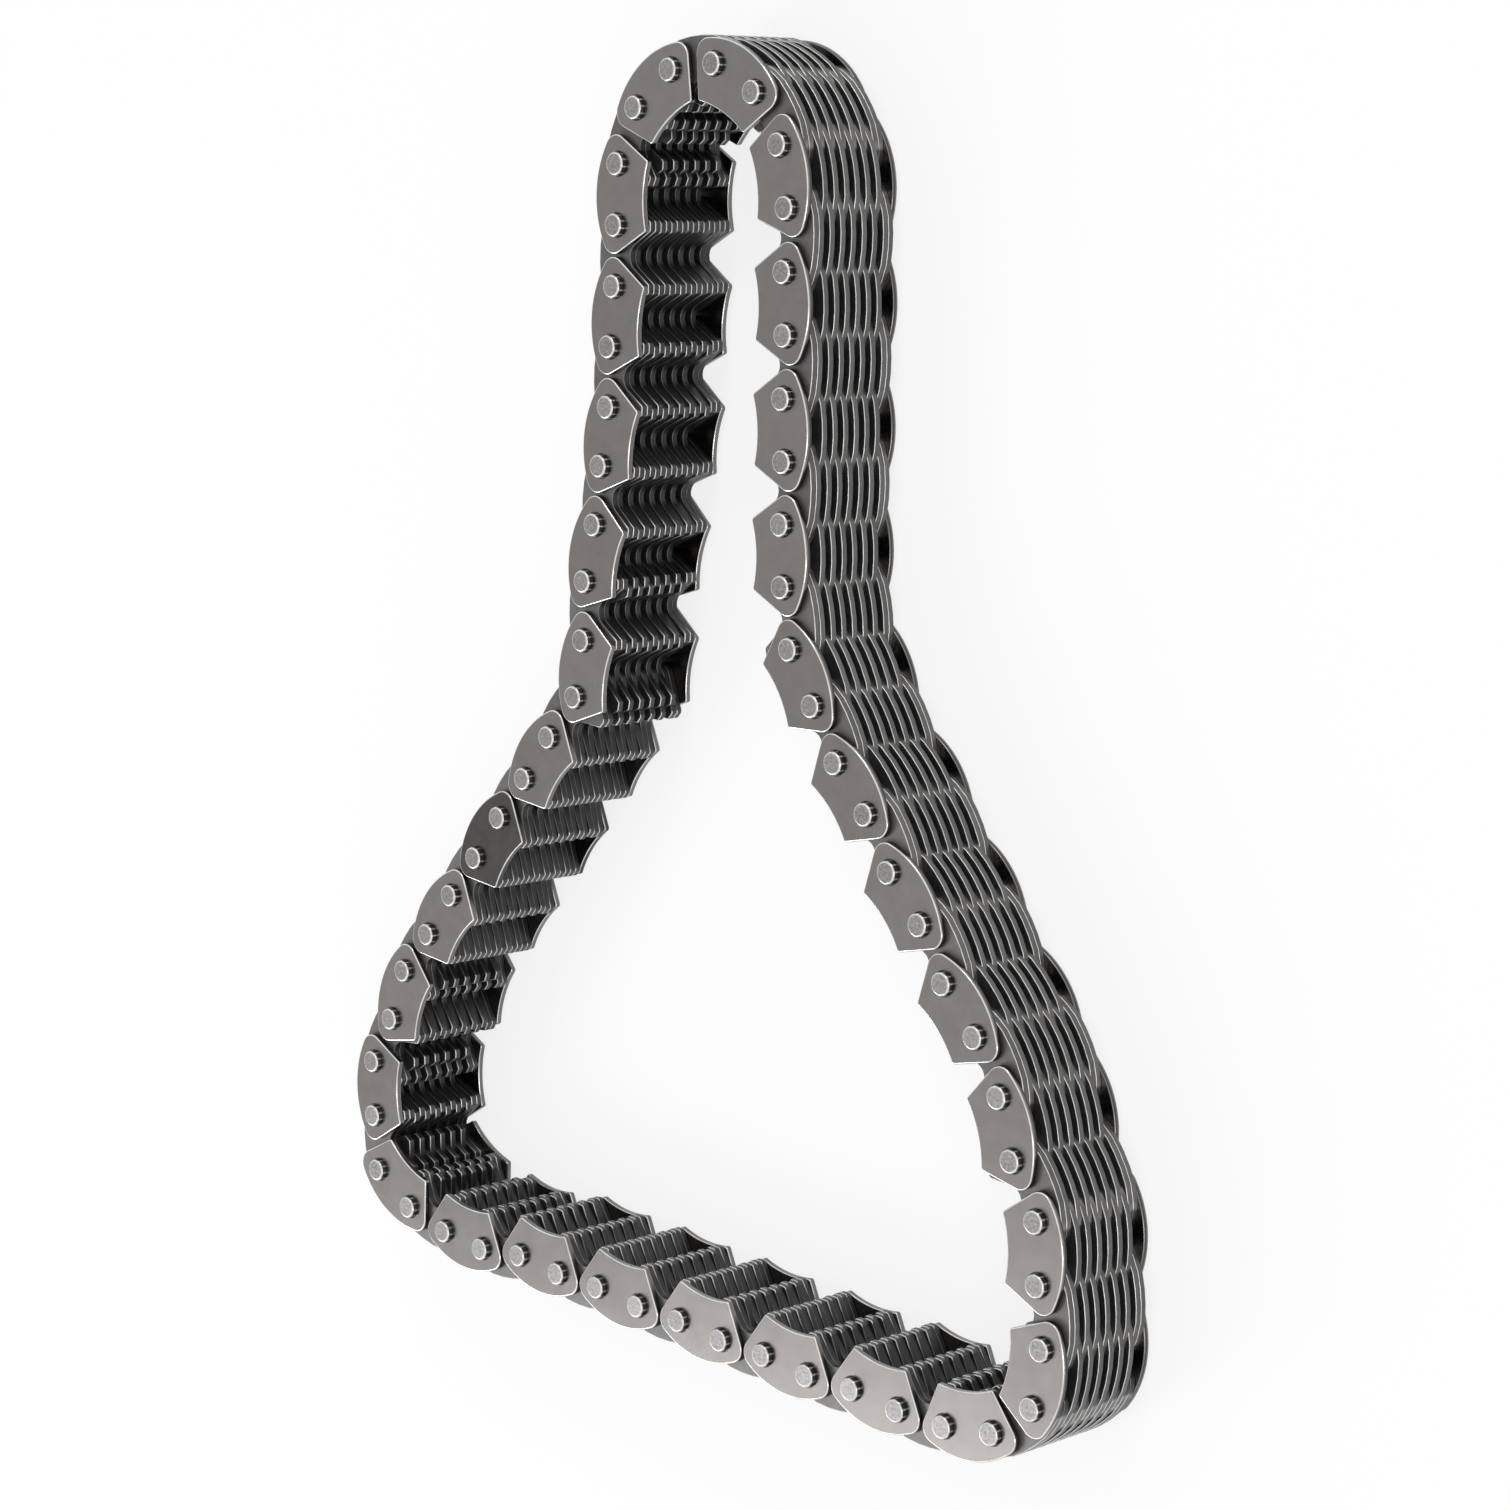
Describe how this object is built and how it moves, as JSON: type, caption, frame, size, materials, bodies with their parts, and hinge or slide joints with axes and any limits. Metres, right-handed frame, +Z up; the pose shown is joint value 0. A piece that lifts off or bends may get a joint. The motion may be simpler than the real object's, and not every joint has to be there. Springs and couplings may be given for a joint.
{
  "type": "silent chain",
  "caption": "Endless silent (inverted tooth) drive chain with outer guide plates, laced toothed link plates and round pins, bent into a flask-shaped loop.",
  "frame": {"origin": "centre of the loop's bounding box, on the surface that the chain lies on", "axes": "+Z up along the pins, +Y along the flask-shaped loop from its floor to its crown, +X across the loop"},
  "size_m": [0.1608, 0.2098, 0.0218],
  "materials": {
    "guide_links": "satin, tumbled steel",
    "link_plates": "dark oiled steel with bright edges"
  },
  "bodies": {
    "crown_links": {"crown_links": "guide_links"},
    "heel_links": {"heel_links": "guide_links"},
    "guide_link_02": {"guide_link_02": "guide_links"},
    "guide_link_03": {"guide_link_03": "guide_links"},
    "guide_link_04": {"guide_link_04": "guide_links"},
    "guide_link_05": {"guide_link_05": "guide_links"},
    "guide_link_06": {"guide_link_06": "guide_links"},
    "guide_link_07": {"guide_link_07": "guide_links"},
    "guide_link_08": {"guide_link_08": "guide_links"},
    "guide_link_09": {"guide_link_09": "guide_links"},
    "guide_link_10": {"guide_link_10": "guide_links"},
    "guide_link_11": {"guide_link_11": "guide_links"},
    "guide_link_14": {"guide_link_14": "guide_links"},
    "guide_link_15": {"guide_link_15": "guide_links"},
    "guide_link_16": {"guide_link_16": "guide_links"},
    "guide_link_17": {"guide_link_17": "guide_links"},
    "guide_link_18": {"guide_link_18": "guide_links"},
    "guide_link_19": {"guide_link_19": "guide_links"},
    "guide_link_20": {"guide_link_20": "guide_links"},
    "guide_link_21": {"guide_link_21": "guide_links"},
    "guide_link_22": {"guide_link_22": "guide_links"},
    "guide_link_23": {"guide_link_23": "guide_links"},
    "guide_link_24": {"guide_link_24": "guide_links"},
    "guide_link_25": {"guide_link_25": "guide_links"},
    "guide_link_26": {"guide_link_26": "guide_links"},
    "guide_link_27": {"guide_link_27": "guide_links"},
    "guide_link_28": {"guide_link_28": "guide_links"},
    "guide_link_29": {"guide_link_29": "guide_links"},
    "guide_link_30": {"guide_link_30": "guide_links"},
    "joint_link_01": {"joint_link_01": "link_plates"},
    "joint_link_02": {"joint_link_02": "link_plates"},
    "joint_link_03": {"joint_link_03": "link_plates"},
    "joint_link_04": {"joint_link_04": "link_plates"},
    "joint_link_05": {"joint_link_05": "link_plates"},
    "joint_link_06": {"joint_link_06": "link_plates"},
    "joint_link_07": {"joint_link_07": "link_plates"},
    "joint_link_08": {"joint_link_08": "link_plates"},
    "joint_link_09": {"joint_link_09": "link_plates"},
    "joint_link_10": {"joint_link_10": "link_plates"},
    "joint_link_11": {"joint_link_11": "link_plates"},
    "joint_link_13": {"joint_link_13": "link_plates"},
    "joint_link_14": {"joint_link_14": "link_plates"},
    "joint_link_15": {"joint_link_15": "link_plates"},
    "joint_link_16": {"joint_link_16": "link_plates"},
    "joint_link_17": {"joint_link_17": "link_plates"},
    "joint_link_18": {"joint_link_18": "link_plates"},
    "joint_link_19": {"joint_link_19": "link_plates"},
    "joint_link_20": {"joint_link_20": "link_plates"},
    "joint_link_21": {"joint_link_21": "link_plates"},
    "joint_link_22": {"joint_link_22": "link_plates"},
    "joint_link_23": {"joint_link_23": "link_plates"},
    "joint_link_24": {"joint_link_24": "link_plates"},
    "joint_link_25": {"joint_link_25": "link_plates"},
    "joint_link_26": {"joint_link_26": "link_plates"},
    "joint_link_27": {"joint_link_27": "link_plates"},
    "joint_link_28": {"joint_link_28": "link_plates"},
    "joint_link_29": {"joint_link_29": "link_plates"},
    "joint_link_30": {"joint_link_30": "link_plates"}
  },
  "joints": [
    {"name": "pivot_02", "type": "hinge", "parent": "crown_links", "child": "joint_link_01", "pos_m": [0.00825, 0.09652, 0.0109], "axis": [0, 0, 1], "range_deg": [-10, 10]},
    {"name": "pivot_03", "type": "hinge", "parent": "joint_link_01", "child": "guide_link_02", "pos_m": [0.01398, 0.08892, 0.0109], "axis": [0, 0, 1], "range_deg": [-10, 10]},
    {"name": "pivot_04", "type": "hinge", "parent": "guide_link_02", "child": "joint_link_02", "pos_m": [0.01596, 0.0796, 0.0109], "axis": [0, 0, 1], "range_deg": [-12, 12]},
    {"name": "pivot_05", "type": "hinge", "parent": "joint_link_02", "child": "guide_link_03", "pos_m": [0.01596, 0.07008, 0.0109], "axis": [0, 0, 1], "range_deg": [-12, 12]},
    {"name": "pivot_06", "type": "hinge", "parent": "guide_link_03", "child": "joint_link_03", "pos_m": [0.01662, 0.06057, 0.0109], "axis": [0, 0, 1], "range_deg": [-12, 12]},
    {"name": "pivot_07", "type": "hinge", "parent": "joint_link_03", "child": "guide_link_04", "pos_m": [0.01662, 0.05105, 0.0109], "axis": [0, 0, 1], "range_deg": [-12, 12]},
    {"name": "pivot_08", "type": "hinge", "parent": "guide_link_04", "child": "joint_link_04", "pos_m": [0.01729, 0.04155, 0.0109], "axis": [0, 0, 1], "range_deg": [-12, 12]},
    {"name": "pivot_09", "type": "hinge", "parent": "joint_link_04", "child": "guide_link_05", "pos_m": [0.01729, 0.03202, 0.0109], "axis": [0, 0, 1], "range_deg": [-12, 12]},
    {"name": "pivot_10", "type": "hinge", "parent": "guide_link_05", "child": "joint_link_05", "pos_m": [0.01795, 0.02252, 0.0109], "axis": [0, 0, 1], "range_deg": [-10, 6]},
    {"name": "pivot_11", "type": "hinge", "parent": "joint_link_05", "child": "guide_link_06", "pos_m": [0.01993, 0.0132, 0.0109], "axis": [0, 0, 1], "range_deg": [-6, 10]},
    {"name": "pivot_12", "type": "hinge", "parent": "guide_link_06", "child": "joint_link_06", "pos_m": [0.02512, 0.00521, 0.0109], "axis": [0, 0, 1], "range_deg": [-10, 6]},
    {"name": "pivot_13", "type": "hinge", "parent": "joint_link_06", "child": "guide_link_07", "pos_m": [0.03027, -0.0028, 0.0109], "axis": [0, 0, 1], "range_deg": [-6, 10]},
    {"name": "pivot_14", "type": "hinge", "parent": "guide_link_07", "child": "joint_link_07", "pos_m": [0.03689, -0.00965, 0.0109], "axis": [0, 0, 1], "range_deg": [-10, 6]},
    {"name": "pivot_15", "type": "hinge", "parent": "joint_link_07", "child": "guide_link_08", "pos_m": [0.04204, -0.01766, 0.0109], "axis": [0, 0, 1], "range_deg": [-6, 10]},
    {"name": "pivot_16", "type": "hinge", "parent": "guide_link_08", "child": "joint_link_08", "pos_m": [0.04865, -0.02451, 0.0109], "axis": [0, 0, 1], "range_deg": [-10, 6]},
    {"name": "pivot_17", "type": "hinge", "parent": "joint_link_08", "child": "guide_link_09", "pos_m": [0.05381, -0.03253, 0.0109], "axis": [0, 0, 1], "range_deg": [-6, 10]},
    {"name": "pivot_18", "type": "hinge", "parent": "guide_link_09", "child": "joint_link_09", "pos_m": [0.06042, -0.03938, 0.0109], "axis": [0, 0, 1], "range_deg": [-10, 6]},
    {"name": "pivot_19", "type": "hinge", "parent": "joint_link_09", "child": "guide_link_10", "pos_m": [0.06557, -0.04739, 0.0109], "axis": [0, 0, 1], "range_deg": [-6, 10]},
    {"name": "pivot_20", "type": "hinge", "parent": "guide_link_10", "child": "joint_link_10", "pos_m": [0.06867, -0.0564, 0.0109], "axis": [0, 0, 1], "range_deg": [-10, 10]},
    {"name": "pivot_21", "type": "hinge", "parent": "joint_link_10", "child": "guide_link_11", "pos_m": [0.07372, -0.06447, 0.0109], "axis": [0, 0, 1], "range_deg": [-10, 10]},
    {"name": "pivot_22", "type": "hinge", "parent": "guide_link_11", "child": "joint_link_11", "pos_m": [0.07463, -0.07395, 0.0109], "axis": [0, 0, 1], "range_deg": [-2, 12]},
    {"name": "pivot_23", "type": "hinge", "parent": "joint_link_11", "child": "heel_links", "pos_m": [0.07596, -0.08339, 0.0109], "axis": [0, 0, 1], "range_deg": [-12, 2]},
    {"name": "pivot_26", "type": "hinge", "parent": "heel_links", "child": "joint_link_13", "pos_m": [0.05772, -0.10017, 0.0109], "axis": [0, 0, 1], "range_deg": [-10, 6]},
    {"name": "pivot_27", "type": "hinge", "parent": "joint_link_13", "child": "guide_link_14", "pos_m": [0.0482, -0.10017, 0.0109], "axis": [0, 0, 1], "range_deg": [-6, 10]},
    {"name": "pivot_28", "type": "hinge", "parent": "guide_link_14", "child": "joint_link_14", "pos_m": [0.03871, -0.09935, 0.0109], "axis": [0, 0, 1], "range_deg": [-10, 10]},
    {"name": "pivot_29", "type": "hinge", "parent": "joint_link_14", "child": "guide_link_15", "pos_m": [0.02919, -0.09968, 0.0109], "axis": [0, 0, 1], "range_deg": [-10, 10]},
    {"name": "pivot_30", "type": "hinge", "parent": "guide_link_15", "child": "joint_link_15", "pos_m": [0.0197, -0.09885, 0.0109], "axis": [0, 0, 1], "range_deg": [-10, 6]},
    {"name": "pivot_31", "type": "hinge", "parent": "joint_link_15", "child": "guide_link_16", "pos_m": [0.01017, -0.09885, 0.0109], "axis": [0, 0, 1], "range_deg": [-6, 10]},
    {"name": "pivot_61", "type": "hinge", "parent": "crown_links", "child": "joint_link_30", "pos_m": [-0.01724, 0.09339, 0.0109], "axis": [0, 0, 1], "range_deg": [-10, 10]},
    {"name": "pivot_60", "type": "hinge", "parent": "joint_link_30", "child": "guide_link_30", "pos_m": [-0.02096, 0.08463, 0.0109], "axis": [0, 0, 1], "range_deg": [-10, 10]},
    {"name": "pivot_59", "type": "hinge", "parent": "guide_link_30", "child": "joint_link_29", "pos_m": [-0.02096, 0.0751, 0.0109], "axis": [0, 0, 1], "range_deg": [-12, 12]},
    {"name": "pivot_58", "type": "hinge", "parent": "joint_link_29", "child": "guide_link_29", "pos_m": [-0.02096, 0.06558, 0.0109], "axis": [0, 0, 1], "range_deg": [-12, 12]},
    {"name": "pivot_57", "type": "hinge", "parent": "guide_link_29", "child": "joint_link_28", "pos_m": [-0.02163, 0.05607, 0.0109], "axis": [0, 0, 1], "range_deg": [-12, 12]},
    {"name": "pivot_56", "type": "hinge", "parent": "joint_link_28", "child": "guide_link_28", "pos_m": [-0.02163, 0.04655, 0.0109], "axis": [0, 0, 1], "range_deg": [-12, 12]},
    {"name": "pivot_55", "type": "hinge", "parent": "guide_link_28", "child": "joint_link_27", "pos_m": [-0.02295, 0.03712, 0.0109], "axis": [0, 0, 1], "range_deg": [-10, 6]},
    {"name": "pivot_54", "type": "hinge", "parent": "joint_link_27", "child": "guide_link_27", "pos_m": [-0.02395, 0.02764, 0.0109], "axis": [0, 0, 1], "range_deg": [-6, 10]},
    {"name": "pivot_53", "type": "hinge", "parent": "guide_link_27", "child": "joint_link_26", "pos_m": [-0.02593, 0.01833, 0.0109], "axis": [0, 0, 1], "range_deg": [-12, 12]},
    {"name": "pivot_52", "type": "hinge", "parent": "joint_link_26", "child": "guide_link_26", "pos_m": [-0.02593, 0.0088, 0.0109], "axis": [0, 0, 1], "range_deg": [-12, 12]},
    {"name": "pivot_51", "type": "hinge", "parent": "guide_link_26", "child": "joint_link_25", "pos_m": [-0.02742, -0.0006, 0.0109], "axis": [0, 0, 1], "range_deg": [-10, 6]},
    {"name": "pivot_50", "type": "hinge", "parent": "joint_link_25", "child": "guide_link_25", "pos_m": [-0.03337, -0.00804, 0.0109], "axis": [0, 0, 1], "range_deg": [-6, 10]},
    {"name": "pivot_49", "type": "hinge", "parent": "guide_link_25", "child": "joint_link_24", "pos_m": [-0.03899, -0.01574, 0.0109], "axis": [0, 0, 1], "range_deg": [-10, 6]},
    {"name": "pivot_48", "type": "hinge", "parent": "joint_link_24", "child": "guide_link_24", "pos_m": [-0.04494, -0.02317, 0.0109], "axis": [0, 0, 1], "range_deg": [-6, 10]},
    {"name": "pivot_47", "type": "hinge", "parent": "guide_link_24", "child": "joint_link_23", "pos_m": [-0.05055, -0.03087, 0.0109], "axis": [0, 0, 1], "range_deg": [-10, 6]},
    {"name": "pivot_46", "type": "hinge", "parent": "joint_link_23", "child": "guide_link_23", "pos_m": [-0.0565, -0.03831, 0.0109], "axis": [0, 0, 1], "range_deg": [-6, 10]},
    {"name": "pivot_45", "type": "hinge", "parent": "guide_link_23", "child": "joint_link_22", "pos_m": [-0.06212, -0.046, 0.0109], "axis": [0, 0, 1], "range_deg": [-10, 6]},
    {"name": "pivot_44", "type": "hinge", "parent": "joint_link_22", "child": "guide_link_22", "pos_m": [-0.06807, -0.05344, 0.0109], "axis": [0, 0, 1], "range_deg": [-6, 10]},
    {"name": "pivot_43", "type": "hinge", "parent": "guide_link_22", "child": "joint_link_21", "pos_m": [-0.07117, -0.06244, 0.0109], "axis": [0, 0, 1], "range_deg": [-10, 10]},
    {"name": "pivot_42", "type": "hinge", "parent": "joint_link_21", "child": "guide_link_21", "pos_m": [-0.07564, -0.07085, 0.0109], "axis": [0, 0, 1], "range_deg": [-10, 10]},
    {"name": "pivot_41", "type": "hinge", "parent": "guide_link_21", "child": "joint_link_20", "pos_m": [-0.07514, -0.08037, 0.0109], "axis": [0, 0, 1], "range_deg": [-2, 12]},
    {"name": "pivot_40", "type": "hinge", "parent": "joint_link_20", "child": "guide_link_20", "pos_m": [-0.07382, -0.0898, 0.0109], "axis": [0, 0, 1], "range_deg": [-12, 2]},
    {"name": "pivot_39", "type": "hinge", "parent": "guide_link_20", "child": "joint_link_19", "pos_m": [-0.06557, -0.09456, 0.0109], "axis": [0, 0, 1], "range_deg": [-10, 6]},
    {"name": "pivot_38", "type": "hinge", "parent": "joint_link_19", "child": "guide_link_19", "pos_m": [-0.05629, -0.0967, 0.0109], "axis": [0, 0, 1], "range_deg": [-6, 10]},
    {"name": "pivot_37", "type": "hinge", "parent": "guide_link_19", "child": "joint_link_18", "pos_m": [-0.0468, -0.09753, 0.0109], "axis": [0, 0, 1], "range_deg": [-10, 10]},
    {"name": "pivot_36", "type": "hinge", "parent": "joint_link_18", "child": "guide_link_18", "pos_m": [-0.03734, -0.09637, 0.0109], "axis": [0, 0, 1], "range_deg": [-10, 10]},
    {"name": "pivot_35", "type": "hinge", "parent": "guide_link_18", "child": "joint_link_17", "pos_m": [-0.02785, -0.0972, 0.0109], "axis": [0, 0, 1], "range_deg": [-10, 6]},
    {"name": "pivot_34", "type": "hinge", "parent": "joint_link_17", "child": "guide_link_17", "pos_m": [-0.01833, -0.0972, 0.0109], "axis": [0, 0, 1], "range_deg": [-6, 10]},
    {"name": "pivot_33", "type": "hinge", "parent": "guide_link_17", "child": "joint_link_16", "pos_m": [-0.00884, -0.09802, 0.0109], "axis": [0, 0, 1], "range_deg": [-10, 6]}
  ],
  "couplings": [
    {"joint": "pivot_03", "follows": "pivot_02", "ratio": -1},
    {"joint": "pivot_05", "follows": "pivot_04", "ratio": -1},
    {"joint": "pivot_07", "follows": "pivot_06", "ratio": -1},
    {"joint": "pivot_09", "follows": "pivot_08", "ratio": -1},
    {"joint": "pivot_10", "follows": "pivot_26", "ratio": 1},
    {"joint": "pivot_11", "follows": "pivot_26", "ratio": -1},
    {"joint": "pivot_12", "follows": "pivot_26", "ratio": 1},
    {"joint": "pivot_13", "follows": "pivot_26", "ratio": -1},
    {"joint": "pivot_14", "follows": "pivot_26", "ratio": 1},
    {"joint": "pivot_15", "follows": "pivot_26", "ratio": -1},
    {"joint": "pivot_16", "follows": "pivot_26", "ratio": 1},
    {"joint": "pivot_17", "follows": "pivot_26", "ratio": -1},
    {"joint": "pivot_18", "follows": "pivot_26", "ratio": 1},
    {"joint": "pivot_19", "follows": "pivot_26", "ratio": -1},
    {"joint": "pivot_21", "follows": "pivot_20", "ratio": -1},
    {"joint": "pivot_23", "follows": "pivot_22", "ratio": -1},
    {"joint": "pivot_27", "follows": "pivot_26", "ratio": -1},
    {"joint": "pivot_28", "follows": "pivot_20", "ratio": 1},
    {"joint": "pivot_29", "follows": "pivot_20", "ratio": -1},
    {"joint": "pivot_30", "follows": "pivot_26", "ratio": 1},
    {"joint": "pivot_31", "follows": "pivot_26", "ratio": -1},
    {"joint": "pivot_61", "follows": "pivot_02", "ratio": 1},
    {"joint": "pivot_60", "follows": "pivot_02", "ratio": -1},
    {"joint": "pivot_59", "follows": "pivot_04", "ratio": 1},
    {"joint": "pivot_58", "follows": "pivot_04", "ratio": -1},
    {"joint": "pivot_57", "follows": "pivot_06", "ratio": 1},
    {"joint": "pivot_56", "follows": "pivot_06", "ratio": -1},
    {"joint": "pivot_55", "follows": "pivot_26", "ratio": 1},
    {"joint": "pivot_54", "follows": "pivot_26", "ratio": -1},
    {"joint": "pivot_53", "follows": "pivot_08", "ratio": 1},
    {"joint": "pivot_52", "follows": "pivot_08", "ratio": -1},
    {"joint": "pivot_51", "follows": "pivot_26", "ratio": 1},
    {"joint": "pivot_50", "follows": "pivot_26", "ratio": -1},
    {"joint": "pivot_49", "follows": "pivot_26", "ratio": 1},
    {"joint": "pivot_48", "follows": "pivot_26", "ratio": -1},
    {"joint": "pivot_47", "follows": "pivot_26", "ratio": 1},
    {"joint": "pivot_46", "follows": "pivot_26", "ratio": -1},
    {"joint": "pivot_45", "follows": "pivot_26", "ratio": 1},
    {"joint": "pivot_44", "follows": "pivot_26", "ratio": -1},
    {"joint": "pivot_43", "follows": "pivot_20", "ratio": 1},
    {"joint": "pivot_42", "follows": "pivot_20", "ratio": -1},
    {"joint": "pivot_41", "follows": "pivot_22", "ratio": 1},
    {"joint": "pivot_40", "follows": "pivot_22", "ratio": -1},
    {"joint": "pivot_39", "follows": "pivot_26", "ratio": 1},
    {"joint": "pivot_38", "follows": "pivot_26", "ratio": -1},
    {"joint": "pivot_37", "follows": "pivot_02", "ratio": 1},
    {"joint": "pivot_36", "follows": "pivot_02", "ratio": -1},
    {"joint": "pivot_35", "follows": "pivot_26", "ratio": 1},
    {"joint": "pivot_34", "follows": "pivot_26", "ratio": -1},
    {"joint": "pivot_33", "follows": "pivot_26", "ratio": 1}
  ]
}
